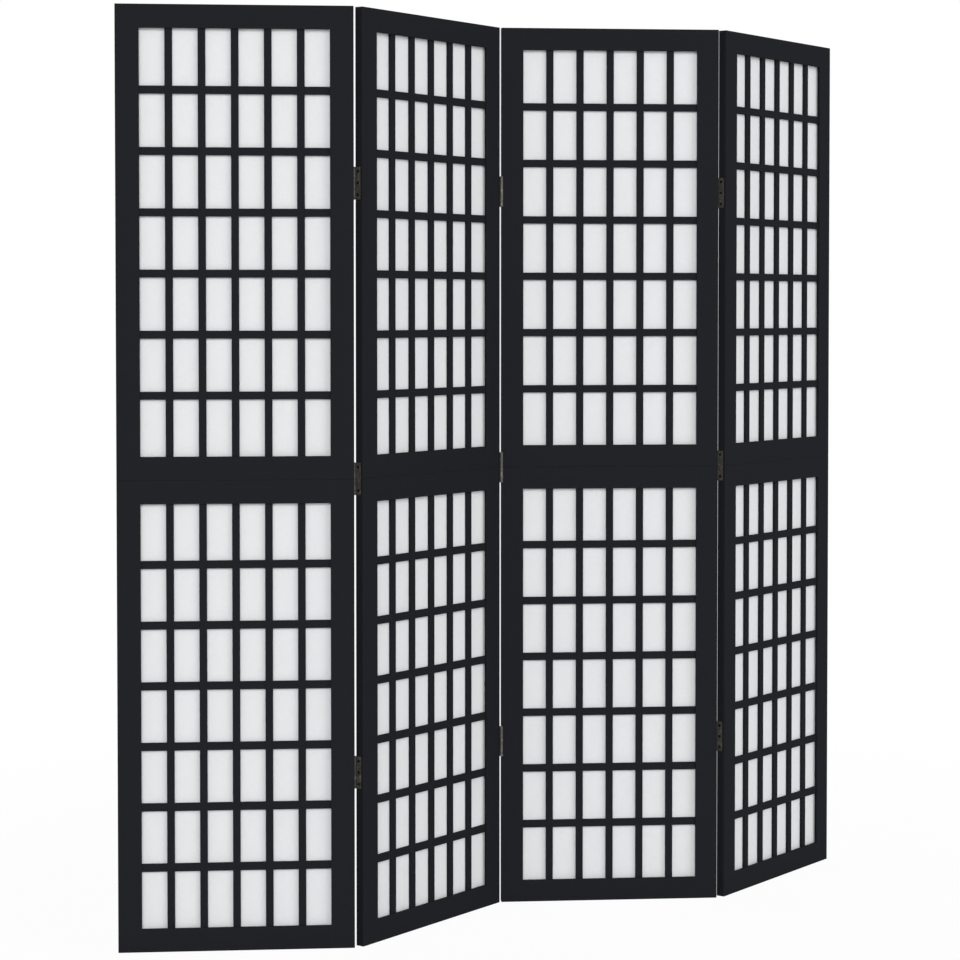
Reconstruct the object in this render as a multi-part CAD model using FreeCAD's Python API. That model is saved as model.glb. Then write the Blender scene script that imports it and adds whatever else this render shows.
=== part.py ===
import FreeCAD, Part
import math
import os

Vector = FreeCAD.Vector
Z_AXIS = Vector(0, 0, 1)
TOUCHING = 1e-6              # edges nearer to a plane than this lie in it
STRAIGHT = 0.999             # edges run along a direction when the cosine between them is over this

# A four-panel folding screen, in millimetres, +Z up, with its front towards -Y. Each panel is two equal
# half-frames, one on the other, and each half-frame holds a sheet of fabric between two lattices of laths.
# The panels stand in a zigzag along X. The origin is on the floor, at the middle of the whole screen.

# --- panels ---------------------------------------------------------------------------------------------
PANEL_COUNT = 4
PANEL_WIDTH = 450.0
PANEL_THICKNESS = 18.0
HALF_HEIGHT = 900.0
FOLD_ANGLE = 49.1            # how far each fold is turned from straight, in degrees
ARRIS_RADIUS = 1.0           # eased edges of the half-frames

# --- half-frames ----------------------------------------------------------------------------------------
STILE_WIDTH = 45.0
RAIL_WIDTH = 45.0
GROOVE_DEPTH = 6.0           # in the inner edges, for the tenons, the lath ends and the fabric
SEAT_GAP = 0.5               # between the floor of a groove and what stands in it

# --- lattices and fabric --------------------------------------------------------------------------------
COLUMNS = 6
ROWS = 7
LATH_RECESS = 4.0            # from the face of the frame back to the face of the laths
UPRIGHT_LATH_WIDTH = 14.5
CROSS_LATH_WIDTH = 15.0
LATH_CHAMFER = 0.5
END_ROW_EXTRA = 7.5          # the first and last row of a half are this much taller than the rest
FABRIC_THICKNESS = 0.5
FABRIC_SETBACK = 1.3         # from the middle of the panel back to the middle of the fabric

# --- dowels across the seam -----------------------------------------------------------------------------
DOWEL_DIAMETER = 8.0
DOWEL_LENGTH = 40.0
DOWEL_CLEARANCE = 0.05
DOWEL_END_GAP = 1.0
DOWEL_CHAMFER = 0.8

# --- hinges ---------------------------------------------------------------------------------------------
HINGE_LENGTH = 62.0
HINGE_INSET = 335.0          # from the end of the panel to the middle of the outer hinges
LEAF_WIDTH = 12.5            # how far a leaf reaches across the end of its panel
LEAF_THICKNESS = 1.4
LEAF_CORNER = 1.5
LEAF_GAP = 0.5               # between the two leaves when the panels are in line
MORTISE_DEPTH = 1.2          # how deep a leaf is let into the end of its panel
MORTISE_CLEARANCE = 0.1      # round the edges of a leaf in its mortise
KNUCKLE_COUNT = 5
KNUCKLE_WALL = 1.4
KNUCKLE_GAP = 0.3            # along the pin, between neighbouring knuckles
BARREL_CLEARANCE = 0.35      # between the barrel and what passes it
PIN_RADIUS = 1.95
PIN_CLEARANCE = 0.05
PIN_HEAD_RADIUS = 2.7
PIN_HEAD_HEIGHT = 0.9

# --- screws ---------------------------------------------------------------------------------------------
SCREW_LENGTH = 16.0
SCREW_SHANK_RADIUS = 1.5
SCREW_TIP_LENGTH = 3.5
SCREW_TIP_RADIUS = 0.3
SCREW_PITCH = 22.5           # along the leaf
SCREW_INSET = 6.0            # from the face of the panel at the pin to the screws
SCREW_CLEARANCE = 0.04
PILOT_END_GAP = 0.6
RECESS_SPAN = 3.2            # the cross in a screw's head
RECESS_SLOT = 0.8
RECESS_DEPTH = 0.9

# --- sizes that follow ----------------------------------------------------------------------------------
LEAN = FOLD_ANGLE / 2                                    # each panel's turn from the line of the screen
OPENING_WIDTH = PANEL_WIDTH - 2 * STILE_WIDTH
OPENING_HEIGHT = HALF_HEIGHT - 2 * RAIL_WIDTH
GROOVE_WIDTH = PANEL_THICKNESS - 2 * LATH_RECESS
SEAT_DEPTH = GROOVE_DEPTH - SEAT_GAP
COLUMN_OPENING = (OPENING_WIDTH - (COLUMNS - 1) * UPRIGHT_LATH_WIDTH) / COLUMNS
ROW_OPENING = (OPENING_HEIGHT - 2 * END_ROW_EXTRA - (ROWS - 1) * CROSS_LATH_WIDTH) / ROWS
COLUMN_PITCH = COLUMN_OPENING + UPRIGHT_LATH_WIDTH
ROW_PITCH = ROW_OPENING + CROSS_LATH_WIDTH
LEAF_FACE = LEAF_THICKNESS - MORTISE_DEPTH               # how far a leaf stands out of the end
END_GAP = 2 * LEAF_FACE + LEAF_GAP                       # between the ends of two panels in line
BORE_RADIUS = PIN_RADIUS + PIN_CLEARANCE
BARREL_RADIUS = BORE_RADIUS + KNUCKLE_WALL
PIN_BEYOND_END = END_GAP / 2
# The pin stands so far out of the face that the barrel clears the eased edges of both panels.
PIN_BEYOND_FACE = math.sqrt(
    (BARREL_RADIUS + BARREL_CLEARANCE + ARRIS_RADIUS) ** 2 - (PIN_BEYOND_END + ARRIS_RADIUS) ** 2
) - ARRIS_RADIUS
PIN_FROM_MIDDLE = PANEL_THICKNESS / 2 + PIN_BEYOND_FACE
KNUCKLE_PITCH = (HINGE_LENGTH + KNUCKLE_GAP) / KNUCKLE_COUNT
KNUCKLE_LENGTH = KNUCKLE_PITCH - KNUCKLE_GAP
SCREW_HEAD_RADIUS = SCREW_SHANK_RADIUS + LEAF_THICKNESS
SCREW_REACH = SCREW_LENGTH - LEAF_THICKNESS              # how far a screw goes into the stile
DOWEL_FROM_END = (MORTISE_DEPTH + SCREW_REACH + STILE_WIDTH - GROOVE_DEPTH) / 2
LEAN_RADIANS = math.radians(LEAN)
PANEL_PITCH = 2 * (
    (PANEL_WIDTH / 2 + PIN_BEYOND_END) * math.cos(LEAN_RADIANS) + PIN_FROM_MIDDLE * math.sin(LEAN_RADIANS)
)
PANEL_HEIGHT = 2 * HALF_HEIGHT

# The hinges of a fold, from the floor up: the height of the middle and the heights of the screws about it.
# The middle hinge lies across the seam, so it has no screw at its middle.
OUTER_SCREWS = (-SCREW_PITCH, 0.0, SCREW_PITCH)
SEAM_SCREWS = (-SCREW_PITCH, SCREW_PITCH)
HINGES = (
    (HINGE_INSET, OUTER_SCREWS),
    (HALF_HEIGHT, SEAM_SCREWS),
    (PANEL_HEIGHT - HINGE_INSET, OUTER_SCREWS),
)
LEFT_KNUCKLES = tuple(range(0, KNUCKLE_COUNT, 2))
RIGHT_KNUCKLES = tuple(range(1, KNUCKLE_COUNT, 2))
FRONT = -1
REAR = 1


def block(x, y, z):
    """A box between pairs of limits along the three axes."""
    corner = Vector(min(x), min(y), min(z))
    return Part.makeBox(max(x) - min(x), max(y) - min(y), max(z) - min(z), corner)


def moved(shape, placement):
    """A copy of a shape at a placement."""
    copy = shape.copy()
    copy.Placement = placement.multiply(copy.Placement)
    return copy


def raised(shape, height):
    """A copy of a shape, lifted by a height."""
    return moved(shape, lift(height))


def lift(height):
    """The placement that lifts a shape by a height."""
    return FreeCAD.Placement(Vector(0, 0, height), FreeCAD.Rotation())


def along(edge, direction):
    """Whether a straight edge runs along a direction."""
    return abs(edge.tangentAt(edge.FirstParameter).dot(direction)) > STRAIGHT


def panel_placement(panel):
    """Where a panel stands, from its own frame: X along its width, its middle at X = 0 and Y = 0."""
    middle = (panel - (PANEL_COUNT + 1) / 2) * PANEL_PITCH
    turn = -LEAN if panel % 2 else LEAN
    return FreeCAD.Placement(Vector(middle, 0, 0), FreeCAD.Rotation(Z_AXIS, turn))


def pin_side(fold):
    """The face on which a fold has its pins. Odd folds point to the front, so their pins are at the rear."""
    return REAR if fold % 2 else FRONT


def end_placement(end):
    """From the frame of a panel's end, with X pointing out of it, to the panel's own. end is -1 or 1."""
    turn = 0 if end > 0 else 180
    return FreeCAD.Placement(Vector(end * PANEL_WIDTH / 2, 0, 0), FreeCAD.Rotation(Z_AXIS, turn))


# --- half-frames ----------------------------------------------------------------------------------------
def half_frame_blank():
    """The four-sided frame of one half in one piece, with its edges eased, its foot at Z = 0."""
    face = (-PANEL_THICKNESS / 2, PANEL_THICKNESS / 2)
    outer = block((-PANEL_WIDTH / 2, PANEL_WIDTH / 2), face, (0, HALF_HEIGHT))
    window = block(
        (-OPENING_WIDTH / 2, OPENING_WIDTH / 2), face, (RAIL_WIDTH, HALF_HEIGHT - RAIL_WIDTH)
    )
    ring = outer.cut(window)
    # The window's corners stay square, where the rails meet the stiles.
    window_corners = [
        edge
        for edge in ring.Edges
        if along(edge, Vector(0, 1, 0)) and abs(edge.CenterOfMass.x) < (PANEL_WIDTH - STILE_WIDTH) / 2
    ]
    eased = [edge for edge in ring.Edges if not any(edge.isSame(corner) for corner in window_corners)]
    return ring.makeFillet(ARRIS_RADIUS, eased)


def stile(blank, end):
    """The stile at one end of a half-frame, with the groove along its inner edge."""
    inner = end * OPENING_WIDTH / 2
    beyond = end * PANEL_WIDTH
    solid = blank.common(block((inner, beyond), (-PANEL_THICKNESS, PANEL_THICKNESS), (0, HALF_HEIGHT)))
    groove = block(
        (inner, inner + end * GROOVE_DEPTH), (-GROOVE_WIDTH / 2, GROOVE_WIDTH / 2), (0, HALF_HEIGHT)
    )
    return solid.cut(groove)


def rail(blank, top):
    """The top or bottom rail of a half-frame, with its stub tenons and the groove along its inner edge."""
    outer = HALF_HEIGHT if top else 0.0
    inner = HALF_HEIGHT - RAIL_WIDTH if top else RAIL_WIDTH
    groove_floor = inner + GROOVE_DEPTH if top else inner - GROOVE_DEPTH
    reach = OPENING_WIDTH / 2 + GROOVE_DEPTH
    cheeks = (-GROOVE_WIDTH / 2, GROOVE_WIDTH / 2)
    between = (-OPENING_WIDTH / 2, OPENING_WIDTH / 2)
    solid = blank.common(block(between, (-PANEL_THICKNESS, PANEL_THICKNESS), (outer, inner)))
    solid = solid.fuse(block((-reach, reach), cheeks, (outer, groove_floor))).removeSplitter()
    return solid.cut(block((-reach, reach), cheeks, (groove_floor, inner)))


# --- lattices and fabric --------------------------------------------------------------------------------
def lath_faces(side):
    """The Y of a lattice's outer face, of its laps and of its face on the fabric."""
    outer = side * GROOVE_WIDTH / 2
    inner = FABRIC_SETBACK + side * FABRIC_THICKNESS / 2
    return outer, (outer + inner) / 2, inner


def lath(x, z, side, direction):
    """One lath between limits in X and Z, with the long edges of its outer face chamfered."""
    outer, _, inner = lath_faces(side)
    solid = block(x, (outer, inner), z)
    edges = [
        edge
        for edge in solid.Edges
        if along(edge, direction) and abs(edge.CenterOfMass.y - outer) < TOUCHING
    ]
    return solid.makeChamfer(LATH_CHAMFER, edges)


def column_middles():
    """The X of the middle of each upright lath."""
    return [(column - (COLUMNS - 2) / 2) * COLUMN_PITCH for column in range(COLUMNS - 1)]


def row_middles():
    """The Z of the middle of each cross lath, from the foot of its half-frame."""
    return [HALF_HEIGHT / 2 + (row - (ROWS - 2) / 2) * ROW_PITCH for row in range(ROWS - 1)]


def lattice(side):
    """The laths on one side of the fabric: uprights over cross laths, each cut half away at the laps."""
    outer, lap, inner = lath_faces(side)
    columns = [(x - UPRIGHT_LATH_WIDTH / 2, x + UPRIGHT_LATH_WIDTH / 2) for x in column_middles()]
    rows = [(z - CROSS_LATH_WIDTH / 2, z + CROSS_LATH_WIDTH / 2) for z in row_middles()]
    reach_x = OPENING_WIDTH / 2 + SEAT_DEPTH
    reach_z = (RAIL_WIDTH - SEAT_DEPTH, HALF_HEIGHT - RAIL_WIDTH + SEAT_DEPTH)
    behind = Part.Compound([block(x, (lap, inner), z) for x in columns for z in rows])
    before = Part.Compound([block(x, (outer, lap), z) for x in columns for z in rows])
    uprights = [lath(x, reach_z, side, Z_AXIS).cut(behind) for x in columns]
    crosses = [lath((-reach_x, reach_x), z, side, Vector(1, 0, 0)).cut(before) for z in rows]
    return uprights + crosses


def fabric():
    """The sheet between the two lattices, held in the grooves all round."""
    reach_x = OPENING_WIDTH / 2 + SEAT_DEPTH
    reach_z = (RAIL_WIDTH - SEAT_DEPTH, HALF_HEIGHT - RAIL_WIDTH + SEAT_DEPTH)
    faces = (FABRIC_SETBACK - FABRIC_THICKNESS / 2, FABRIC_SETBACK + FABRIC_THICKNESS / 2)
    return block((-reach_x, reach_x), faces, reach_z)


# --- dowels ---------------------------------------------------------------------------------------------
def dowel_middle(end):
    """A dowel's place across the panel."""
    return end * (PANEL_WIDTH / 2 - DOWEL_FROM_END)


def dowel(end):
    """One dowel, half in each half-frame."""
    foot = Vector(dowel_middle(end), 0, HALF_HEIGHT - DOWEL_LENGTH / 2)
    solid = Part.makeCylinder(DOWEL_DIAMETER / 2, DOWEL_LENGTH, foot)
    rims = [edge for edge in solid.Edges if isinstance(edge.Curve, Part.Circle)]
    return solid.makeChamfer(DOWEL_CHAMFER, rims)


def dowel_hole(end):
    """The hole for a dowel, through the seam."""
    reach = DOWEL_LENGTH / 2 + DOWEL_END_GAP
    foot = Vector(dowel_middle(end), 0, HALF_HEIGHT - reach)
    return Part.makeCylinder(DOWEL_DIAMETER / 2 + DOWEL_CLEARANCE, 2 * reach, foot)


# --- hinges, in the frame of a panel's end --------------------------------------------------------------
def pin_axis(side):
    """Where a pin stands, seen from a panel's end."""
    return Vector(PIN_BEYOND_END, side * PIN_FROM_MIDDLE, 0)


def knuckle_foot(number):
    """The height of a knuckle's lower end about the middle of its hinge."""
    return number * KNUCKLE_PITCH - HINGE_LENGTH / 2


def leaf_plate(side, outer_face, pin_edge, margin=0.0):
    """A leaf's plate from the floor of its mortise, about Z = 0, larger by a margin round its free edges."""
    free_edge = side * (PANEL_THICKNESS / 2 - LEAF_WIDTH - margin)
    reach = HINGE_LENGTH / 2 + margin
    plate = block((-MORTISE_DEPTH, outer_face), (free_edge, pin_edge), (-reach, reach))
    corners = [
        edge
        for edge in plate.Edges
        if along(edge, Vector(1, 0, 0)) and abs(edge.CenterOfMass.y - free_edge) < TOUCHING
    ]
    return plate.makeFillet(LEAF_CORNER + margin, corners)


def leaf(side, knuckles, screw_heights):
    """One leaf about Z = 0: a plate let into the panel's end, its knuckles, and countersunk holes."""
    axis = pin_axis(side)
    solid = leaf_plate(side, LEAF_FACE, axis.y)
    for number in range(KNUCKLE_COUNT):
        foot = axis + Z_AXIS * knuckle_foot(number)
        if number in knuckles:
            solid = solid.fuse(Part.makeCylinder(BARREL_RADIUS, KNUCKLE_LENGTH, foot))
        else:
            room = Part.makeCylinder(
                BARREL_RADIUS + BARREL_CLEARANCE,
                KNUCKLE_LENGTH + 2 * KNUCKLE_GAP,
                foot - Z_AXIS * KNUCKLE_GAP,
            )
            solid = solid.cut(room)
    bore = Part.makeCylinder(BORE_RADIUS, 2 * HINGE_LENGTH, axis - Z_AXIS * HINGE_LENGTH)
    solid = solid.cut(bore)
    for height in screw_heights:
        sink = Part.makeCone(
            SCREW_SHANK_RADIUS + SCREW_CLEARANCE,
            SCREW_HEAD_RADIUS + SCREW_CLEARANCE,
            LEAF_THICKNESS,
            screw_seat(side, height),
            Vector(1, 0, 0),
        )
        solid = solid.cut(sink)
    return solid.removeSplitter()


def mortise(side):
    """What is cut from a panel's end for one leaf, about Z = 0. It is open at the face by the pin."""
    return leaf_plate(side, PANEL_THICKNESS, side * PANEL_THICKNESS, MORTISE_CLEARANCE)


def screw_seat(side, height):
    """Where a screw enters the floor of the mortise, in the frame of the panel's end."""
    return Vector(-MORTISE_DEPTH, side * (PANEL_THICKNESS / 2 - SCREW_INSET), height)


def pin(side):
    """One pin about Z = 0, with a domed head on each end of the barrel."""
    axis = pin_axis(side)
    dome_radius = (PIN_HEAD_RADIUS ** 2 + PIN_HEAD_HEIGHT ** 2) / (2 * PIN_HEAD_HEIGHT)
    solid = Part.makeCylinder(PIN_RADIUS, HINGE_LENGTH, axis - Z_AXIS * (HINGE_LENGTH / 2))
    for end in (-1, 1):
        seat = axis + Z_AXIS * (end * HINGE_LENGTH / 2)
        ball = Part.makeSphere(dome_radius, seat + Z_AXIS * (end * (PIN_HEAD_HEIGHT - dome_radius)))
        keep = Part.makeCylinder(PIN_HEAD_RADIUS * 2, PIN_HEAD_HEIGHT * 2, seat, Z_AXIS * end)
        solid = solid.fuse(ball.common(keep))
    return solid.removeSplitter()


def screw(side, height):
    """One countersunk screw, its head level with the leaf and a cross sunk in it."""
    inward = Vector(-1, 0, 0)
    seat = screw_seat(side, height)
    top = seat - inward * LEAF_THICKNESS
    head = Part.makeCone(SCREW_HEAD_RADIUS, SCREW_SHANK_RADIUS, LEAF_THICKNESS, top, inward)
    straight = SCREW_REACH - SCREW_TIP_LENGTH
    shank = Part.makeCylinder(SCREW_SHANK_RADIUS, straight, seat, inward)
    shank_end = seat + inward * straight
    tip = Part.makeCone(SCREW_SHANK_RADIUS, SCREW_TIP_RADIUS, SCREW_TIP_LENGTH, shank_end, inward)
    solid = head.fuse([shank, tip]).removeSplitter()
    depth = (top.x - RECESS_DEPTH, top.x)
    for span_y, span_z in ((RECESS_SPAN, RECESS_SLOT), (RECESS_SLOT, RECESS_SPAN)):
        slot = block(
            depth,
            (seat.y - span_y / 2, seat.y + span_y / 2),
            (seat.z - span_z / 2, seat.z + span_z / 2),
        )
        solid = solid.cut(slot)
    return solid


def pilot_hole(side, height):
    """The hole in the stile for one screw."""
    reach = SCREW_REACH + PILOT_END_GAP
    return Part.makeCylinder(
        SCREW_SHANK_RADIUS + SCREW_CLEARANCE, reach, screw_seat(side, height), Vector(-1, 0, 0)
    )


# --- which hinges each panel carries --------------------------------------------------------------------
def hinged_ends(panel):
    """Each hinged end of a panel, as the end and the pin's side in the frame of that end."""
    ends = []
    if panel > 1:
        ends.append((-1, -pin_side(panel - 1)))
    if panel < PANEL_COUNT:
        ends.append((1, pin_side(panel)))
    return ends


def leaves(side, knuckles):
    """The leaves at one end of a panel, in the frame of that end."""
    return [raised(leaf(side, knuckles, heights), middle) for middle, heights in HINGES]


def screws_at(side):
    """All screws at one end of a panel, in the frame of that end."""
    return [screw(side, middle + height) for middle, heights in HINGES for height in heights]


def hinge_cuts(panel):
    """The mortises and pilot holes for a panel's leaves and screws, in the panel's frame."""
    cuts = []
    for end, side in hinged_ends(panel):
        for middle, heights in HINGES:
            cuts.append(moved(raised(mortise(side), middle), end_placement(end)))
            for height in heights:
                cuts.append(moved(pilot_hole(side, middle + height), end_placement(end)))
    return cuts


# --- nodes ----------------------------------------------------------------------------------------------
def write(name, solids, placement):
    """One node: its solids, placed and exported together."""
    shape = solids[0] if len(solids) == 1 else Part.Compound(solids)
    moved(shape, placement).exportStep(os.path.join("parts", name + ".step"))


def write_half_frames(blank):
    """The stiles, rails, lattices and fabric of both halves of every panel."""
    rails = [rail(blank, False), rail(blank, True)]
    lattices = {"front": lattice(FRONT), "rear": lattice(REAR)}
    sheet = fabric()
    stiles = [stile(blank, -1), stile(blank, 1)]
    dowel_holes = [dowel_hole(-1), dowel_hole(1)]
    for panel in range(1, PANEL_COUNT + 1):
        cuts = hinge_cuts(panel) + dowel_holes
        for half, foot in (("lower", 0.0), ("upper", HALF_HEIGHT)):
            name = f"panel_{panel}_{half}_"
            place = panel_placement(panel)
            cut_stiles = [raised(solid, foot).cut(cuts) for solid in stiles]
            write(name + "stiles", cut_stiles, place)
            standing = place.multiply(lift(foot))
            write(name + "rails", rails, standing)
            for side, laths in lattices.items():
                write(name + side + "_lattice", laths, standing)
            write(name + "fabric", [sheet], standing)


def write_hardware():
    """The dowels and screws of every panel, and the leaves and pins of every fold."""
    for panel in range(1, PANEL_COUNT + 1):
        place = panel_placement(panel)
        write(f"panel_{panel}_dowels", [dowel(-1), dowel(1)], place)
        screws = []
        for end, side in hinged_ends(panel):
            screws += [moved(solid, end_placement(end)) for solid in screws_at(side)]
        write(f"panel_{panel}_hinge_screws", screws, place)
    for fold in range(1, PANEL_COUNT):
        side = pin_side(fold)
        name = f"fold_{fold}_{fold + 1}_"
        left = panel_placement(fold).multiply(end_placement(1))
        right = panel_placement(fold + 1).multiply(end_placement(-1))
        write(name + "left_leaves", leaves(side, LEFT_KNUCKLES), left)
        write(name + "right_leaves", leaves(-side, RIGHT_KNUCKLES), right)
        write(name + "hinge_pins", [raised(pin(side), middle) for middle, _ in HINGES], left)


os.makedirs("parts", exist_ok=True)
write_half_frames(half_frame_blank())
write_hardware()
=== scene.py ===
import logging
import math
import random
from dataclasses import dataclass, field
from enum import Enum
from typing import Any, Callable, Iterator, Optional, Sequence, Union

import bpy
from mathutils import Matrix, Vector


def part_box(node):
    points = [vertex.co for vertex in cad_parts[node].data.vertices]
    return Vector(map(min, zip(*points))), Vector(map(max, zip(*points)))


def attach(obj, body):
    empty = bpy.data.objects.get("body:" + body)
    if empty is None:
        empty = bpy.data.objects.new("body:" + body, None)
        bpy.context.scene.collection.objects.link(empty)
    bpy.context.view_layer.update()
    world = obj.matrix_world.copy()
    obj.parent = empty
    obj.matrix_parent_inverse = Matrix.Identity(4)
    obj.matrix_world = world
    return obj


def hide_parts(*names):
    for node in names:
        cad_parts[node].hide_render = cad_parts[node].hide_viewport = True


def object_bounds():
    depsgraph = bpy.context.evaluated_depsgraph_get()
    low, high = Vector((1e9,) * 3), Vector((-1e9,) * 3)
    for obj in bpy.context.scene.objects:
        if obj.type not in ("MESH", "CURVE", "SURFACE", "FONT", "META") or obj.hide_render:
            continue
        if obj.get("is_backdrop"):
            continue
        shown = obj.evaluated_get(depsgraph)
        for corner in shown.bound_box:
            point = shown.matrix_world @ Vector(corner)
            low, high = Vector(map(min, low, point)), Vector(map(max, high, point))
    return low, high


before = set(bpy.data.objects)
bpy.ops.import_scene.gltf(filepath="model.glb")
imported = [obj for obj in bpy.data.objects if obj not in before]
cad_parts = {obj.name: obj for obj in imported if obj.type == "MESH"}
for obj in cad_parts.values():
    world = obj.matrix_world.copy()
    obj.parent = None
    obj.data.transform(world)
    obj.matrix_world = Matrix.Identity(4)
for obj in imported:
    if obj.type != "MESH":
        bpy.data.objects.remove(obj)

# A four-panel folding screen of black lacquered wood and white fabric. All sizes are in metres. Each panel
# is described in its own frame: X across the panel, Y through it with the front at -Y, Z up from the floor.

LOG = logging.getLogger("folding_screen")
IMAGE_SIZE = 960             # pixels along each side of the picture
SENSOR_WIDTH = 36.0          # millimetres

Colour = tuple[float, float, float]
WHITE: Colour = (1.0, 1.0, 1.0)


# --- sizes ----------------------------------------------------------------------------------------------
@dataclass(frozen=True)
class ScreenSizes:
    """The sizes of the screen that its fabric and its finishes follow."""

    panels: int = 4
    fold_angle: float = math.radians(49.1)
    panel_width: float = 0.450
    panel_thickness: float = 0.018
    half_height: float = 0.900
    stile_width: float = 0.045
    rail_width: float = 0.045
    held_edge: float = 0.0055        # how far the fabric reaches into the grooves round its opening
    setback: float = 0.0013          # from the middle of the panel back to the fabric
    columns: int = 6
    rows: int = 7
    upright_lath: float = 0.0145
    cross_lath: float = 0.015
    end_row_extra: float = 0.0075    # the first and last row of a half are this much taller than the rest
    lattice_face: float = 0.005      # from the middle of the panel to the outer face of the laths

    @property
    def opening_width(self) -> float:
        """Between the two stiles."""
        return self.panel_width - 2 * self.stile_width

    @property
    def opening_height(self) -> float:
        """Between the two rails of a half."""
        return self.half_height - 2 * self.rail_width

    @property
    def column_pitch(self) -> float:
        """From one upright lath to the next."""
        return (self.opening_width + self.upright_lath) / self.columns

    @property
    def row_pitch(self) -> float:
        """From one cross lath to the next."""
        return (self.opening_height - 2 * self.end_row_extra + self.cross_lath) / self.rows

    @property
    def sheet_width(self) -> float:
        """The fabric's cut width."""
        return self.opening_width + 2 * self.held_edge

    @property
    def sheet_height(self) -> float:
        """The fabric's cut height."""
        return self.opening_height + 2 * self.held_edge

    def column_middles(self) -> list[float]:
        """The X of each upright lath."""
        return [(number - (self.columns - 2) / 2) * self.column_pitch for number in range(self.columns - 1)]

    def row_middles(self) -> list[float]:
        """The Z of each cross lath above the foot of its half."""
        first = (self.half_height - (self.rows - 2) * self.row_pitch) / 2
        return [first + number * self.row_pitch for number in range(self.rows - 1)]


class Half(Enum):
    """The two half-frames of a panel."""

    LOWER = "lower"
    UPPER = "upper"


class Grain(Enum):
    """Which way the wood of a member runs."""

    UPRIGHT = "upright"
    ACROSS = "across"


@dataclass(frozen=True)
class PanelPlace:
    """Where one panel stands: its number from the left, its middle on the floor and its turn about Z."""

    number: int
    middle: tuple[float, float]
    turn: float

    def node(self, half: Half, part: str) -> str:
        """The name of one of the panel's construction nodes."""
        return f"panel_{self.number}_{half.value}_{part}"

    def body(self) -> str:
        """The name of the body that the panel moves with."""
        return f"panel_{self.number}"

    def matrix(self, height: float) -> Matrix:
        """The placement of something modelled in the panel's frame and lifted by a height."""
        lifted = Matrix.Translation((self.middle[0], self.middle[1], height))
        return lifted @ Matrix.Rotation(self.turn, 4, "Z")


def panel_place(number: int, sizes: ScreenSizes) -> PanelPlace:
    """Finds where a panel stands from its stiles.

    Args:
        number: The panel, counted from the left.
        sizes: The screen's sizes.

    Returns:
        The panel's place.
    """
    low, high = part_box(f"panel_{number}_lower_stiles")
    turn = -sizes.fold_angle / 2 if number % 2 else sizes.fold_angle / 2
    return PanelPlace(number, ((low.x + high.x) / 2, (low.y + high.y) / 2), turn)


# --- shader maths ---------------------------------------------------------------------------------------
Term = Union["Value", float]

NOISE_MIDDLE = 0.5           # the value that a noise lies about
SOFT_NOISE = 2.0             # how many layers of ever smaller features a noise has
PLAIN_NOISE = 3.0
CRISP_NOISE = 4.0

# The places of a Mix node's sockets when it mixes colours, because their names repeat.
MIX_FACTOR = 0
MIX_FIRST = 6
MIX_SECOND = 7
MIX_RESULT = 2


@dataclass(frozen=True)
class Value:
    """One output of a shader node, which takes part in expressions as a number does."""

    graph: "Graph"
    socket: bpy.types.NodeSocket

    def __add__(self, other: Term) -> "Value":
        """self + other."""
        return self.graph.maths("ADD", self, other)

    def __radd__(self, other: Term) -> "Value":
        """other + self."""
        return self.graph.maths("ADD", other, self)

    def __sub__(self, other: Term) -> "Value":
        """self - other."""
        return self.graph.maths("SUBTRACT", self, other)

    def __rsub__(self, other: Term) -> "Value":
        """other - self."""
        return self.graph.maths("SUBTRACT", other, self)

    def __mul__(self, other: Term) -> "Value":
        """self * other."""
        return self.graph.maths("MULTIPLY", self, other)

    def __rmul__(self, other: Term) -> "Value":
        """other * self."""
        return self.graph.maths("MULTIPLY", other, self)

    def __abs__(self) -> "Value":
        """The size of self without its sign."""
        return self.graph.maths("ABSOLUTE", self)

    def __mod__(self, other: float) -> "Value":
        """What is left of self over whole multiples of other, never negative."""
        return self.graph.maths("FLOORED_MODULO", self, other)


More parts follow.
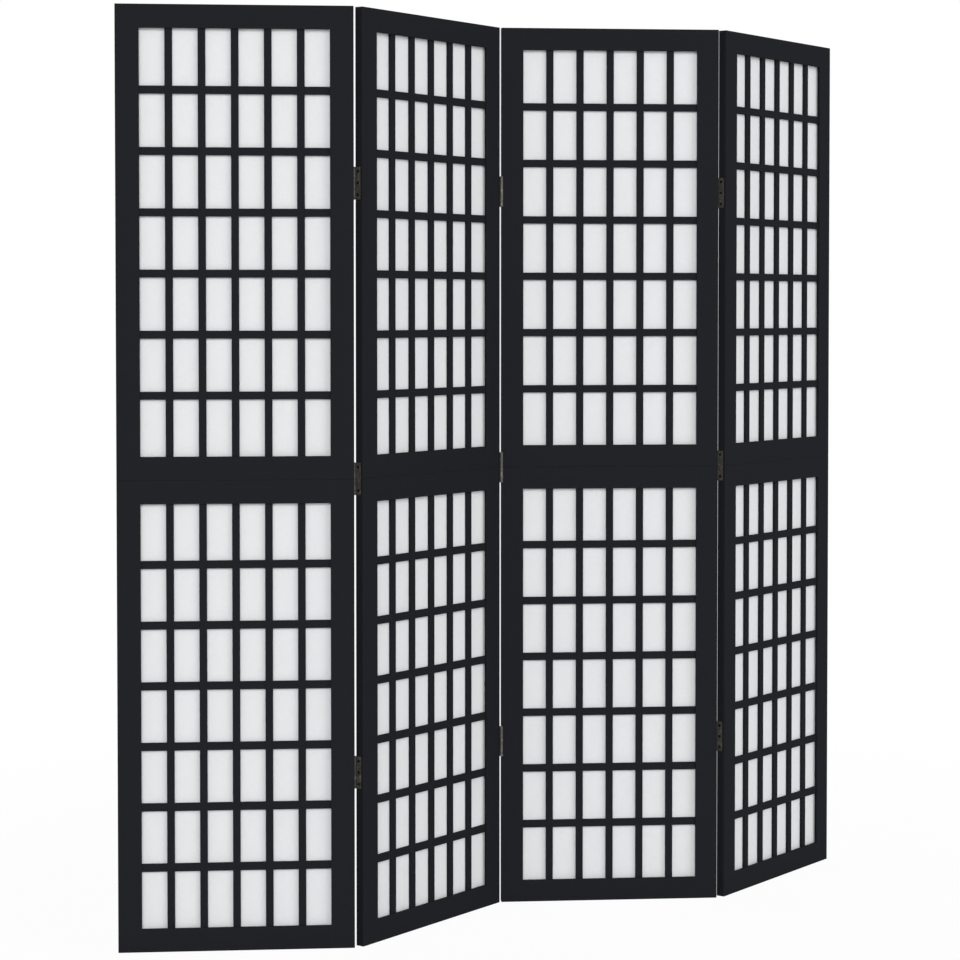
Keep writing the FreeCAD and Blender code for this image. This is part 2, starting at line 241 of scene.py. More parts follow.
class Graph:
    """A node tree that is built from expressions."""

    def __init__(self, tree: bpy.types.NodeTree) -> None:
        """Starts with an empty tree.

        Args:
            tree: The tree to build in.
        """
        self.tree = tree
        self.tree.nodes.clear()

    def node(
        self,
        kind: str,
        settings: Optional[dict[str, Any]] = None,
        inputs: Optional[dict[Union[str, int], Any]] = None,
        output: Union[str, int] = 0,
    ) -> Value:
        """Adds any node.

        Args:
            kind: The node's type, without its ShaderNode prefix.
            settings: The node's own properties, which are set first.
            inputs: What goes into its sockets, by name or number: values, or outputs of other nodes.
            output: Which of its outputs is wanted.

        Returns:
            The wanted output.
        """
        node = self.tree.nodes.new("ShaderNode" + kind)
        for key, value in (settings or {}).items():
            setattr(node, key, value)
        for key, value in (inputs or {}).items():
            if isinstance(value, Value):
                self.tree.links.new(value.socket, node.inputs[key])
            else:
                node.inputs[key].default_value = value
        return Value(self, node.outputs[output])

    def maths(self, operation: str, *terms: Term) -> Value:
        """One Math node on values or numbers."""
        return self.node("Math", {"operation": operation}, dict(enumerate(terms)))

    def stretched(self, vector: Value, scale: Sequence[float]) -> Value:
        """A vector with each of its parts multiplied by a number of its own."""
        return self.node("VectorMath", {"operation": "MULTIPLY"}, {0: vector, 1: tuple(scale)})

    def mixed(self, factor: Term, first: Any, second: Any) -> Value:
        """A colour between two colours."""
        inputs = {MIX_FACTOR: factor, MIX_FIRST: opaque(first), MIX_SECOND: opaque(second)}
        return self.node("Mix", {"data_type": "RGBA"}, inputs, MIX_RESULT)

    def blended(self, factor: Term, first: Value, second: Value) -> Value:
        """A surface between two surfaces."""
        return self.node("MixShader", inputs={0: factor, 1: first, 2: second})

    def ramp(self, value: Value, start: float, end: float) -> Value:
        """0 where a value is under start and 1 where it is over end, with a smooth rise between them."""
        limits = {"Value": value, "From Min": start, "From Max": end}
        return self.node("MapRange", {"interpolation_type": "SMOOTHSTEP"}, limits)

    def near(self, value: Value, place: float, reach: float) -> Value:
        """1 within a third of a reach from a place, falling to 0 at the whole reach."""
        return 1 - self.ramp(abs(value - place), reach / 3, reach)

    def larger(self, first: Term, second: Term) -> Value:
        """The larger of two values."""
        return self.maths("MAXIMUM", first, second)

    def noise(
        self, vector: Value, scale: float = 1.0, detail: float = PLAIN_NOISE, roughness: float = 0.55
    ) -> Value:
        """Adds a noise.

        Args:
            vector: The place that it varies with.
            scale: How many features there are to each unit of the vector.
            detail: How many layers of ever smaller features it has.
            roughness: How strong the smaller features are.

        Returns:
            A value from 0 to 1.
        """
        inputs = {"Vector": vector, "Scale": scale, "Detail": detail, "Roughness": roughness}
        return self.node("TexNoise", inputs=inputs)

    def object_place(self) -> Value:
        """The place on the object, in metres."""
        return self.node("TexCoord", output="Object")

    def panel_position(self, place: PanelPlace) -> Value:
        """Turns the place on the object into a panel's own frame.

        Args:
            place: Where the panel stands.

        Returns:
            The place, in metres.
        """
        inputs = {
            "Vector": self.object_place(),
            "Location": (place.middle[0], place.middle[1], 0.0),
            "Rotation": (0.0, 0.0, place.turn),
        }
        return self.node("Mapping", {"vector_type": "TEXTURE"}, inputs)

    def parts(self, vector: Value) -> tuple[Value, Value, Value]:
        """The X, Y and Z of a vector."""
        node = self.node("SeparateXYZ", inputs={0: vector}).socket.node
        return tuple(Value(self, output) for output in node.outputs)

    def bump(self, height: Value, depth: float, strength: float) -> Value:
        """A normal for a relief that is one depth deep from height 0 to height 1."""
        return self.node("Bump", inputs={"Height": height, "Distance": depth, "Strength": strength})

    def principled(self, inputs: dict[Union[str, int], Any]) -> Value:
        """The main surface shader."""
        return self.node("BsdfPrincipled", inputs=inputs)

    def looked_at(self) -> Value:
        """Tells what is looked at from what only gives light.

        Returns:
            1 for the camera and for what metal and glass show, and 0 for light on matt surfaces.
        """
        rays = self.node("LightPath").socket.node.outputs
        seen = self.larger(Value(self, rays["Is Camera Ray"]), Value(self, rays["Is Glossy Ray"]))
        return self.larger(seen, Value(self, rays["Is Transmission Ray"]))

    def end(self, kind: str, surface: Value) -> None:
        """Leads a surface to the output node of one kind."""
        output = self.tree.nodes.new("ShaderNode" + kind)
        self.tree.links.new(surface.socket, output.inputs["Surface"])


class MaterialGraph(Graph):
    """The node tree of one material."""

    def __init__(self, name: str) -> None:
        """Starts a material with an empty tree.

        Args:
            name: The material's name.
        """
        self.material = bpy.data.materials.new(name)
        self.material.use_nodes = True
        super().__init__(self.material.node_tree)

    def finish(self, surface: Value) -> bpy.types.Material:
        """Ends the tree at a surface and gives the material."""
        self.end("OutputMaterial", surface)
        return self.material


def opaque(colour: Any) -> Any:
    """A colour of three numbers with its fourth, and anything else as it is."""
    return (*colour, 1.0) if isinstance(colour, tuple) else colour


# --- finishes -------------------------------------------------------------------------------------------
@dataclass(frozen=True)
class BlackLacquer:
    """Satin black lacquer over wood with a little of its pores showing, and rubbed arrises lit by a painted
    highlight.
    """

    place: PanelPlace
    sizes: ScreenSizes
    black: Colour = (0.0137, 0.0143, 0.0172)
    # The rubbed colour is lighter than the black: partly worn lacquer, partly a painted highlight on the
    # arrises.
    rubbed: Colour = (0.0205, 0.0210, 0.0236)
    wear_and_highlight_tint: float = 0.6           # how far a rubbed arris goes over into the rubbed colour, wear and painted highlight together
    fibre_tint: float = 0.10         # and how far the highest fibres do
    gloss_level: float = 0.008
    roughness: float = 0.62
    rubbed_roughness: float = 0.50
    patch_sheen: float = 0.10        # how much the roughness changes from patch to patch
    fibre_sheen: float = 0.06        # and from fibre to fibre
    patches_from: float = 0.35       # where the patches of an arris start to be rubbed and lightened by the painted highlight
    patches_to: float = 0.75         # and where they are rubbed and lightened fully
    fibre: float = 0.0007            # across the grain
    fibre_run: float = 0.030         # along the grain
    film_ripple: float = 0.0035      # from one ripple of the film to the next
    fibre_share: float = 0.6         # of the relief, and the rest is ripple
    relief: float = 0.00006          # from the lowest to the highest point
    relief_strength: float = 0.5
    rub_and_highlight_reach: float = 0.0016        # from an arris inwards

    def fibres(self, graph: Graph, position: Value, grain: Grain) -> Value:
        """The pores and fibres of wood that runs one way.

        Args:
            graph: The material in the making.
            position: The place in the panel's frame.
            grain: Which way the wood runs.

        Returns:
            A height from 0 to 1.
        """
        across, along = 1 / self.fibre, 1 / self.fibre_run
        scale = (across, across, along) if grain is Grain.UPRIGHT else (along, across, across)
        return graph.noise(graph.stretched(position, scale), detail=CRISP_NOISE)

    def surface(
        self, graph: MaterialGraph, position: Value, fibres: Value, rubbed: Value
    ) -> bpy.types.Material:
        """The lacquer over given fibres and rubbed edges, which the rubbed colour lightens as a painted
        highlight.

        Args:
            graph: The material in the making.
            position: The place in the panel's frame.
            fibres: The height of the wood under the film.
            rubbed: 1 where the lacquer is rubbed and takes the painted highlight, and 0 where it isn't.

        Returns:
            The material.
        """
        ripple = graph.noise(position, 1 / self.film_ripple, SOFT_NOISE)
        patches = graph.noise(position, 1 / self.sizes.stile_width, PLAIN_NOISE)
        # Painted highlight: in patches along the arrises the colour goes lighter, as well as the lacquer
        # smoother.
        worn_and_highlit = rubbed * graph.ramp(patches, self.patches_from, self.patches_to)
        tint = worn_and_highlit * self.wear_and_highlight_tint + fibres * self.fibre_tint
        from_patches = (patches - NOISE_MIDDLE) * self.patch_sheen
        from_fibres = (fibres - NOISE_MIDDLE) * self.fibre_sheen
        sheen = self.roughness + from_patches + from_fibres
        height = fibres * self.fibre_share + ripple * (1 - self.fibre_share)
        return graph.finish(
            graph.principled(
                {
                    "Base Color": graph.mixed(tint, self.black, self.rubbed),
                    "Roughness": sheen - worn_and_highlit * (self.roughness - self.rubbed_roughness),
                    "Specular IOR Level": self.gloss_level,
                    "Normal": graph.bump(height, self.relief, self.relief_strength),
                }
            )
        )


@dataclass(frozen=True)
class FrameLacquer(BlackLacquer):
    """The lacquer on the stiles or the rails of one panel."""

    grain: Grain = Grain.UPRIGHT

    def material(self) -> bpy.types.Material:
        """Makes the material.

        Returns:
            The material, with its grain, and its rubbed edges along the members lightened as a painted
            highlight.
        """
        graph = MaterialGraph(f"black_lacquer_panel_{self.place.number}_{self.grain.value}")
        position = graph.panel_position(self.place)
        x, y, z = graph.parts(position)
        half = self.sizes.half_height
        if self.grain is Grain.UPRIGHT:
            span, outer, inner = abs(x), self.sizes.panel_width / 2, self.sizes.opening_width / 2
        else:
            span, outer, inner = abs(z % half - half / 2), half / 2, self.sizes.opening_height / 2
        # The arrises that take the rubbed colour, a painted highlight as well as wear.
        edges = graph.larger(
            graph.near(span, outer, self.rub_and_highlight_reach), graph.near(span, inner, self.rub_and_highlight_reach)
        )
        face = graph.near(abs(y), self.sizes.panel_thickness / 2, self.rub_and_highlight_reach)
        return self.surface(graph, position, self.fibres(graph, position, self.grain), edges * face)


@dataclass(frozen=True)
class LathLacquer(BlackLacquer):
    """The lacquer on the laths of one panel, whose uprights lie over the cross laths."""

    fibre: float = 0.0005
    rub_and_highlight_reach: float = 0.0011
    grain_turn: float = 0.0001       # over which the grain turns beside an upright lath

    def material(self) -> bpy.types.Material:
        """Makes the material.

        Returns:
            The material, with the grain of each lath along it.
        """
        graph = MaterialGraph(f"black_lacquer_panel_{self.place.number}_laths")
        position = graph.panel_position(self.place)
        x, y, z = graph.parts(position)
        sizes = self.sizes
        column, row = sizes.column_pitch, sizes.row_pitch
        upright_edge, cross_edge = sizes.upright_lath / 2, sizes.cross_lath / 2
        from_upright = abs((x + column / 2) % column - column / 2)
        from_cross = abs((z - sizes.row_middles()[0] + row / 2) % row - row / 2)
        upright = 1 - graph.ramp(from_upright, upright_edge, upright_edge + self.grain_turn)
        # The arrises of the laths that take the rubbed colour, a painted highlight as well as wear.
        edges = graph.larger(
            graph.near(from_upright, upright_edge, self.rub_and_highlight_reach),
            graph.near(from_cross, cross_edge, self.rub_and_highlight_reach) * (1 - upright),
        )
        face = graph.near(abs(y), sizes.lattice_face, self.rub_and_highlight_reach)
        along = self.fibres(graph, position, Grain.UPRIGHT)
        across = self.fibres(graph, position, Grain.ACROSS)
        return self.surface(graph, position, along * upright + across * (1 - upright), edges * face)


@dataclass(frozen=True)
class AgedBrass:
    """Brass with a dark olive patina, rubbed bright in patches."""

    name: str = "hinge_brass"
    patina: Colour = (0.051, 0.050, 0.043)
    bronze: Colour = (0.090, 0.084, 0.071)
    bright: Colour = (0.33, 0.30, 0.25)
    brightness: float = 0.35         # how far the rubbed patches go over into the bright colour
    metallic: float = 0.42
    gloss_level: float = 0.5
    roughness: float = 0.44
    mottle_sheen: float = 0.25       # how much the roughness changes over a mottle
    rubbed_sheen: float = 0.15       # and how much smoother a rubbed patch is
    mottle: float = 0.0035           # from one mottle to the next
    mottle_harshness: float = 0.6
    patina_below: float = 0.35       # of the mottles, which are bronze at the next value
    bronze_above: float = 0.65
    clouds: float = 0.25             # to each mottle
    grits: float = 8.0               # to each mottle
    cloud_share: float = 0.5         # of what settles the rubbed patches, and the rest is mottle
    rubbed_from: float = 0.50
    rubbed_to: float = 0.68
    mottle_share: float = 0.6        # of the relief, and the rest is grit
    relief: float = 0.00003
    relief_strength: float = 0.5

    def material(self) -> bpy.types.Material:
        """Makes the material.

        Returns:
            The material, mottled on the object's own place.
        """
        graph = MaterialGraph(self.name)
        position = graph.object_place()
        mottle = graph.noise(position, 1 / self.mottle, CRISP_NOISE, self.mottle_harshness)
        cloud = graph.noise(position, self.clouds / self.mottle, SOFT_NOISE)
        grit = graph.noise(position, self.grits / self.mottle, SOFT_NOISE)
        ground = graph.mixed(
            graph.ramp(mottle, self.patina_below, self.bronze_above), self.patina, self.bronze
        )
        patches = cloud * self.cloud_share + mottle * (1 - self.cloud_share)
        rubbed = graph.ramp(patches, self.rubbed_from, self.rubbed_to) * self.brightness
        sheen = self.roughness + (mottle - NOISE_MIDDLE) * self.mottle_sheen
        height = mottle * self.mottle_share + grit * (1 - self.mottle_share)
        return graph.finish(
            graph.principled(
                {
                    "Base Color": graph.mixed(rubbed, ground, self.bright),
                    "Metallic": self.metallic,
                    "Specular IOR Level": self.gloss_level,
                    "Roughness": sheen - rubbed * self.rubbed_sheen,
                    "Normal": graph.bump(height, self.relief, self.relief_strength),
                }
            )
        )


@dataclass(frozen=True)
class PinBrass(AgedBrass):
    """The brass of the hinge pins, which turning keeps brighter."""

    name: str = "pin_brass"
    brightness: float = 0.6
    roughness: float = 0.45


@dataclass(frozen=True)
class ScrewBrass(AgedBrass):
    """The brass of the hinge screws, which are nearly black."""

    name: str = "screw_brass"
    patina: Colour = (0.006, 0.0055, 0.0045)
    bronze: Colour = (0.012, 0.0105, 0.0085)
    brightness: float = 0.03
    gloss_level: float = 0.1


@dataclass(frozen=True)
class WhiteCloth:
    """A fine plain weave in white with slubs in its threads, which lets some light through from behind."""

    sizes: ScreenSizes
    white: Colour = (0.80, 0.806, 0.815)
    shaded: Colour = (0.745, 0.752, 0.765)
    thread: float = 0.0006
    slub_threads: float = 2.0        # how many threads a slub takes in
    slub_run: float = 0.025          # along the thread
    warp_share: float = 0.5          # of the slubs, and the rest lie along the weft
    slub_light: float = 0.62         # slubs above this aren't shaded
    slub_dark: float = 0.40          # and those below this are shaded fully
    slub_shade: float = 0.55
    clouds: float = 6.0              # to each metre
    cloud_shade: float = 0.3
    weave_share: float = 0.35        # how high the weave stands beside the slubs
    relief: float = 0.00008
    relief_strength: float = 0.4
    roughness: float = 0.9
    gloss_level: float = 0.2
    passed: float = 0.15             # the share of the surface that lets light through

    def material(self) -> bpy.types.Material:
        """Makes the material.

        Returns:
            The material, woven along the sheet's own map, which runs from 0 to 1 over the cut sheet.
        """
        graph = MaterialGraph("white_cloth")
        cut = (self.sizes.sheet_width, self.sizes.sheet_height, 1.0)
        place = graph.stretched(graph.node("TexCoord", output="UV"), cut)
        across, up, _ = graph.parts(place)
        turn = math.pi / self.thread
        weave = graph.maths("SINE", across * turn) * graph.maths("SINE", up * turn)
        beside, along = 1 / (self.slub_threads * self.thread), 1 / self.slub_run
        warp = graph.noise(graph.stretched(place, (beside, along, 1.0)))
        weft = graph.noise(graph.stretched(place, (along, beside, 1.0)))
        slub = warp * self.warp_share + weft * (1 - self.warp_share)
        cloud = graph.noise(place, self.clouds, SOFT_NOISE) - NOISE_MIDDLE
        thin = graph.ramp(slub, self.slub_light, self.slub_dark)
        shade = thin * self.slub_shade + cloud * self.cloud_shade
        colour = graph.mixed(shade, self.white, self.shaded)
        normal = graph.bump(weave * self.weave_share + slub, self.relief, self.relief_strength)
        front = graph.principled(
            {
                "Base Color": colour,
                "Roughness": self.roughness,
                "Specular IOR Level": self.gloss_level,
                "Normal": normal,
            }
        )
        through = graph.node("BsdfTranslucent", inputs={"Color": colour, "Normal": normal})
        return graph.finish(graph.blended(self.passed, front, through))


@dataclass(frozen=True)
class Beech:
    """Bare pale wood with short darker flecks, for the dowels."""

    pale: Colour = (0.52, 0.36, 0.22)
    dark: Colour = (0.33, 0.20, 0.11)
    fibre: float = 0.0006            # across the grain
    fibre_run: float = 0.012         # along the grain
    flecks_from: float = 0.45
    flecks_to: float = 0.70
    roughness: float = 0.6
    fleck_sheen: float = 0.15        # how much rougher a fleck is
    relief: float = 0.0001
    relief_strength: float = 0.4

    def material(self) -> bpy.types.Material:
        """Makes the material.

        Returns:
            The material, with its grain upright.
        """
        graph = MaterialGraph("beech_dowel")
        scale = (1 / self.fibre, 1 / self.fibre, 1 / self.fibre_run)
        flecks = graph.noise(graph.stretched(graph.object_place(), scale), detail=CRISP_NOISE)
        dark = graph.ramp(flecks, self.flecks_from, self.flecks_to)
        return graph.finish(
            graph.principled(
                {
                    "Base Color": graph.mixed(dark, self.pale, self.dark),
                    "Roughness": self.roughness + flecks * self.fleck_sheen,
                    "Normal": graph.bump(flecks, self.relief, self.relief_strength),
                }
            )
        )


@dataclass(frozen=True)
class PaleFloor:
    """A pale matt floor that goes over into the white of the background away from the object."""

    colour: Colour = (0.95, 0.95, 0.95)
    white_near: float = 0.95         # how much of the background's white shows through near the object
    clear_from: float = 0.9          # metres from the middle
    clear_to: float = 2.6

    def material(self) -> bpy.types.Material:
        """Makes the material.

        Returns:
            The material, which gives its white only to what looks at it and not to the light on the object.
        """
        graph = MaterialGraph("pale_floor")
        distance = graph.node("VectorMath", {"operation": "LENGTH"}, {0: graph.object_place()}, "Value")
        away = graph.ramp(distance, self.clear_from, self.clear_to)
        white = self.white_near + away * (1 - self.white_near)
        matt = graph.node("BsdfDiffuse", inputs={"Color": opaque(self.colour)})
        plain = graph.node("Emission", inputs={"Color": opaque(WHITE), "Strength": 1.0})
        return graph.finish(graph.blended(graph.looked_at() * white, matt, plain))


# --- studio ---------------------------------------------------------------------------------------------
@dataclass(frozen=True)
class SoftLamp:
    """One square soft lamp that points at the middle of the screen."""

    name: str
    azimuth: float                   # degrees round the screen from the front, to the right
    elevation: float                 # degrees above the middle of the screen
    distance: float
    side: float
    level: float                     # how bright a white surface that faces it gets, where 1 is white

    def build(self, target: Vector) -> None:
        """Adds the lamp.

        Args:
            target: The point that it lights.
        """
        around, up = math.radians(self.azimuth), math.radians(self.elevation)
        out = Vector((math.sin(around) * math.cos(up), -math.cos(around) * math.cos(up), math.sin(up)))
        data = bpy.data.lights.new(self.name, "AREA")
        data.shape = "SQUARE"
        data.size = self.side
        data.energy = self.level * (math.pi * self.distance) ** 2
        lamp = bpy.data.objects.new(self.name, data)
        bpy.context.scene.collection.objects.link(lamp)
        lamp.location = target + out * self.distance
        lamp.rotation_euler = (-out).to_track_quat("-Z", "Y").to_euler()


@dataclass
class Studio:
    """The camera, the lamps, the white round about and the floor."""

    eye: tuple[float, float, float] = (-2.594, -4.417, 1.227)
    yaw: float = math.radians(29.48)         # to the right of straight ahead
    pitch: float = math.radians(1.72)        # downwards
    focal_pixels: float = 2532.0
    shift: float = -0.10                     # of the picture's side
    ambient: float = 0.40                    # the light that comes from all round
    floor_side: float = 40.0
    lamps: tuple[SoftLamp, ...] = (
        SoftLamp("key_lamp", azimuth=-30.0, elevation=22.0, distance=40.0, side=17.0, level=0.53),
        SoftLamp("fill_lamp", azimuth=30.0, elevation=15.0, distance=40.0, side=23.0, level=0.305),
        SoftLamp("back_lamp", azimuth=170.0, elevation=8.0, distance=40.0, side=23.0, level=0.40),
    )

    def build(self) -> None:
        """Builds everything that isn't part of the object, the camera first."""
        self.build_camera()
        low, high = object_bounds()
        for lamp in self.lamps:
            lamp.build((low + high) / 2)
        self.build_surroundings()
        self.build_floor()
        bpy.context.scene.view_settings.view_transform = "Standard"

    def build_camera(self) -> None:
        """Adds the camera at the picture's place."""
        data = bpy.data.cameras.new("camera")
        data.sensor_width = SENSOR_WIDTH
        data.lens = SENSOR_WIDTH * self.focal_pixels / IMAGE_SIZE
        data.shift_y = self.shift
        camera = bpy.data.objects.new("camera", data)
        camera.location = self.eye
        camera.rotation_euler = (math.pi / 2 - self.pitch, 0.0, -self.yaw)
        bpy.context.scene.collection.objects.link(camera)
        bpy.context.scene.camera = camera

    def build_surroundings(self) -> None:
        """Sets an even dim light all round, which is plain white to look at."""
        world = bpy.data.worlds.new("white_room")
        world.use_nodes = True
        graph = Graph(world.node_tree)
        light = graph.node("Background", inputs={"Color": opaque(WHITE), "Strength": self.ambient})
        white = graph.node("Background", inputs={"Color": opaque(WHITE), "Strength": 1.0})
        graph.end("OutputWorld", graph.blended(graph.looked_at(), light, white))
        bpy.context.scene.world = world

    def build_floor(self) -> None:
        """Adds the floor under the screen."""
        deselect_all()
        bpy.ops.mesh.primitive_plane_add(size=self.floor_side, location=(0.0, 0.0, 0.0))
        floor = bpy.context.object
        floor.name = "floor"
        floor.data.materials.append(PaleFloor().material())
        floor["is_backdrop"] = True


# --- modelling ------------------------------------------------------------------------------------------
def deselect_all() -> None:
    """Leaves no object selected, and none in edit mode."""
    if bpy.context.object and bpy.context.object.mode != "OBJECT":
        bpy.ops.object.mode_set(mode="OBJECT")
    bpy.ops.object.select_all(action="DESELECT")


def pick(piece: bpy.types.Object) -> None:
    """Makes one object the only one that operators act on.

    Args:
        piece: The object.
    """
    deselect_all()
    piece.select_set(True)
    bpy.context.view_layer.objects.active = piece


def select_faces(piece: bpy.types.Object, wanted: Callable[[Vector], bool]) -> int:
    """Selects faces of an object that is in edit mode by where their middles are.

    Args:
        piece: The object.
        wanted: Says whether a middle is wanted.

    Returns:
        How many faces were selected.
    """
    bpy.ops.mesh.select_mode(type="FACE")
    bpy.ops.mesh.select_all(action="DESELECT")
    bpy.ops.object.mode_set(mode="OBJECT")
    count = 0
    for face in piece.data.polygons:
        face.select = wanted(face.center)
        count += face.select
    bpy.ops.object.mode_set(mode="EDIT")
    return count


def apply_place(piece: bpy.types.Object) -> None:
    """Puts an object's place into its mesh."""
    pick(piece)
    bpy.ops.object.transform_apply(location=True, rotation=True, scale=True)


def dress(piece: bpy.types.Object, material: bpy.types.Material) -> None:
    """Gives an object one material all over.

    Args:
        piece: The object.
        material: Its finish.
    """
    if not piece.material_slots:
        piece.data.materials.append(material)
    for slot in piece.material_slots:
        slot.material = material
    LOG.info("%s: %s", piece.name, material.name)


@dataclass
class FabricSheet:
    """A sheet of fabric between two lattices: flat at the laths, a little slack in each opening."""

    sizes: ScreenSizes
    thickness: float = 0.0004
    slack_from: float = 0.008        # from the edge of an opening to where its slack is full
    slack: float = 0.0005            # the most that an opening's middle stands forward or back
    found_within: float = 0.001      # how near to its place the middle of a face is looked for
    smoothing: int = 2
    crease: float = math.radians(40.0)
    seed: int = 11
    piece: Optional[bpy.types.Object] = field(default=None, init=False)

    def model(self) -> bpy.types.Object:
        """Models the sheet of a lower half in the panel's frame.

        Returns:
            The sheet from which every other one is copied.
        """
        sizes = self.sizes
        deselect_all()
        middle = (0.0, sizes.setback, sizes.half_height / 2)
        bpy.ops.mesh.primitive_plane_add(size=1.0, location=middle, rotation=(math.pi / 2, 0.0, 0.0))
        self.piece = bpy.context.object
        self.piece.name = "fabric_pattern"
        self.piece.scale = (sizes.sheet_width, sizes.sheet_height, 1.0)
        apply_place(self.piece)
        bpy.ops.object.mode_set(mode="EDIT")
        self.cut_along_laths()
        self.loosen_openings()
        bpy.ops.object.mode_set(mode="OBJECT")
        self.thicken()
        return self.piece

    def cut_along_laths(self) -> None:
        """Cuts the sheet along the edges of the laths, the stiles and the rails that hold it."""
        sizes = self.sizes
        across, up = Vector((1.0, 0.0, 0.0)), Vector((0.0, 0.0, 1.0))
        uprights = [x + side * sizes.upright_lath / 2 for x in sizes.column_middles() for side in (-1, 1)]
        crosses = [z + side * sizes.cross_lath / 2 for z in sizes.row_middles() for side in (-1, 1)]
        uprights += [-sizes.opening_width / 2, sizes.opening_width / 2]
        crosses += [sizes.rail_width, sizes.half_height - sizes.rail_width]
        for direction, places in ((across, uprights), (up, crosses)):
            for place in places:
                bpy.ops.mesh.select_all(action="SELECT")
                bpy.ops.mesh.bisect(plane_co=direction * place, plane_no=direction)

    def openings(self) -> Iterator[tuple[float, float]]:
        """Goes through the openings column by column, from the lowest up.

        Returns:
            The middle of each opening, as X and Z.
        """
        sizes = self.sizes
        foot = sizes.rail_width - sizes.cross_lath / 2
        edges = [foot, *sizes.row_middles(), sizes.half_height - foot]
        for column in range(sizes.columns):
            x = (column - (sizes.columns - 1) / 2) * sizes.column_pitch
            for low, high in zip(edges, edges[1:]):
                yield x, (low + high) / 2

    def loosen_openings(self) -> None:
        """Moves the middle of each opening a little forward or back."""
        reach_x = (self.sizes.column_pitch - self.sizes.upright_lath) / 2
        reach_z = self.sizes.row_pitch / 2
        middles = list(self.openings())

        def open_face(centre: Vector) -> bool:
            """Whether a face lies in an opening."""
            return any(
                abs(centre.x - x) < reach_x / 2 and abs(centre.z - z) < reach_z / 2 for x, z in middles
            )

        select_faces(self.piece, open_face)
        bpy.ops.mesh.inset(thickness=self.slack_from, depth=0.0, use_individual=True)
        draw = random.Random(self.seed)
        loosened = 0
        for x, z in middles:
            forward = draw.uniform(-self.slack, self.slack)
            middle = Vector((x, self.sizes.setback, z))
            loosened += select_faces(
                self.piece, lambda centre: (centre - middle).length < self.found_within
            )
            bpy.ops.transform.translate(value=(0.0, forward, 0.0))
        LOG.info("fabric: %d of %d openings loosened", loosened, len(middles))

    def thicken(self) -> None:
        """Smooths the sheet and gives it its thickness."""
        pick(self.piece)
        smooth = self.piece.modifiers.new("smooth", "SUBSURF")
        smooth.levels = smooth.render_levels = self.smoothing
        smooth.boundary_smooth = "PRESERVE_CORNERS"
        smooth.uv_smooth = "NONE"
        wall = self.piece.modifiers.new("wall", "SOLIDIFY")
        wall.thickness = self.thickness
        wall.offset = 0.0
        for name in ("smooth", "wall"):
            bpy.ops.object.modifier_apply(modifier=name)
        bpy.ops.object.shade_smooth_by_angle(angle=self.crease)

    def copy_to(self, place: PanelPlace, half: Half) -> bpy.types.Object:
        """Copies the modelled sheet to a half of a panel.

        Args:
            place: Where the panel stands.
            half: Which half it is.

        Returns:
            The copy, with a mesh of its own.
        """
        pick(self.piece)
        bpy.ops.object.duplicate(linked=False)
        copy = bpy.context.object
        copy.name = place.node(half, "fabric_sheet")
        copy.matrix_world = place.matrix(self.sizes.half_height if half is Half.UPPER else 0.0)
        apply_place(copy)
        return copy


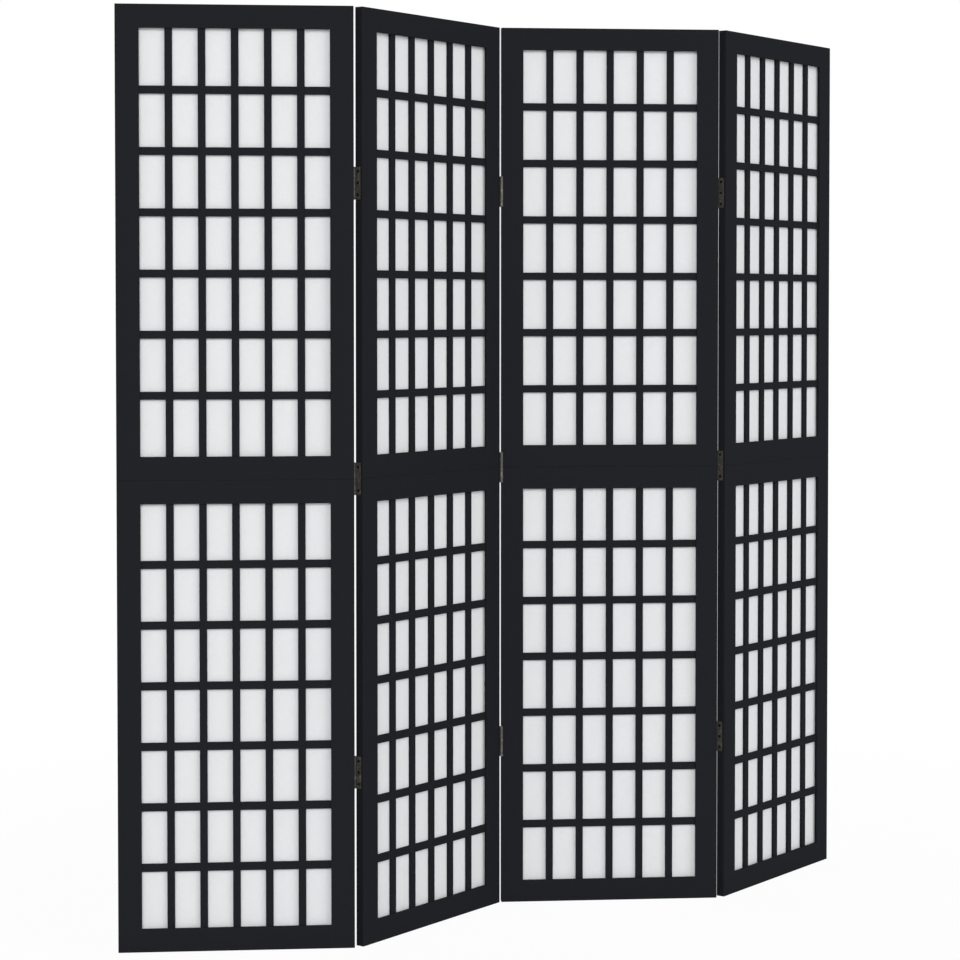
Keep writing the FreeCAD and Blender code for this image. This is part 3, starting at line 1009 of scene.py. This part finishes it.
# --- the screen -----------------------------------------------------------------------------------------
@dataclass
class Panel:
    """One panel: two half-frames of stiles, rails, laths and fabric, dowelled together."""

    place: PanelPlace
    sizes: ScreenSizes
    sheets: list[bpy.types.Object] = field(default_factory=list, init=False)

    def build(self, pattern: FabricSheet) -> None:
        """Adds the panel's two sheets of fabric.

        Args:
            pattern: The modelled sheet that they are copied from.
        """
        for half in Half:
            sheet = pattern.copy_to(self.place, half)
            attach(sheet, self.place.body())
            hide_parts(self.place.node(half, "fabric"))
            self.place.node(half, "front_lattice")
            self.place.node(half, "rear_lattice")
            self.sheets.append(sheet)

    def dress(
        self, cloth: bpy.types.Material, dowel: bpy.types.Material, screw: bpy.types.Material
    ) -> None:
        """Gives every piece of the panel its finish.

        Args:
            cloth: The fabric's finish.
            dowel: The dowels' finish.
            screw: The screws' finish.
        """
        for sheet in self.sheets:
            dress(sheet, cloth)
        upright = FrameLacquer(self.place, self.sizes, grain=Grain.UPRIGHT).material()
        across = FrameLacquer(self.place, self.sizes, grain=Grain.ACROSS).material()
        laths = LathLacquer(self.place, self.sizes).material()
        finishes = {"stiles": upright, "rails": across, "front_lattice": laths, "rear_lattice": laths}
        for half in Half:
            for part, finish in finishes.items():
                dress(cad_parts[self.place.node(half, part)], finish)
        dress(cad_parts[f"{self.place.body()}_dowels"], dowel)
        dress(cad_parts[f"{self.place.body()}_hinge_screws"], screw)
        LOG.info("%s: finished, with %d sheets of fabric", self.place.body(), len(self.sheets))


@dataclass
class Fold:
    """One fold: three hinges, each with two leaves and a pin."""

    number: int

    def dress(self, leaf: bpy.types.Material, pin: bpy.types.Material) -> None:
        """Gives the hinges their finish.

        Args:
            leaf: The leaves' finish.
            pin: The pins' finish.
        """
        name = f"fold_{self.number}_{self.number + 1}"
        for part, finish in (("left_leaves", leaf), ("right_leaves", leaf), ("hinge_pins", pin)):
            dress(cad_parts[f"{name}_{part}"], finish)
        LOG.info("%s: finished", name)


@dataclass
class FoldingScreen:
    """The whole screen."""

    sizes: ScreenSizes = field(default_factory=ScreenSizes)
    panels: list[Panel] = field(default_factory=list, init=False)

    def build(self) -> None:
        """Models the fabric and hangs it in every panel."""
        pattern = FabricSheet(self.sizes)
        model = pattern.model()
        for number in range(1, self.sizes.panels + 1):
            panel = Panel(panel_place(number, self.sizes), self.sizes)
            panel.build(pattern)
            self.panels.append(panel)
        bpy.data.objects.remove(model)

    def dress(self) -> None:
        """Gives every piece of the screen its finish."""
        cloth = WhiteCloth(self.sizes).material()
        dowel = Beech().material()
        leaf = AgedBrass().material()
        pin = PinBrass().material()
        screw = ScrewBrass().material()
        for panel in self.panels:
            panel.dress(cloth, dowel, screw)
        for number in range(1, self.sizes.panels):
            Fold(number).dress(leaf, pin)


def main() -> None:
    """Builds the studio and the screen."""
    logging.basicConfig(level=logging.INFO, format="%(name)s: %(message)s")
    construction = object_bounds()
    Studio().build()
    screen = FoldingScreen()
    screen.build()
    screen.dress()
    deselect_all()
    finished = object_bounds()
    boxes = {"construction": construction, "finished": finished}
    sizes = {name: [list(corner) for corner in box] for name, box in boxes.items()}


if __name__ == "__main__":
    main()
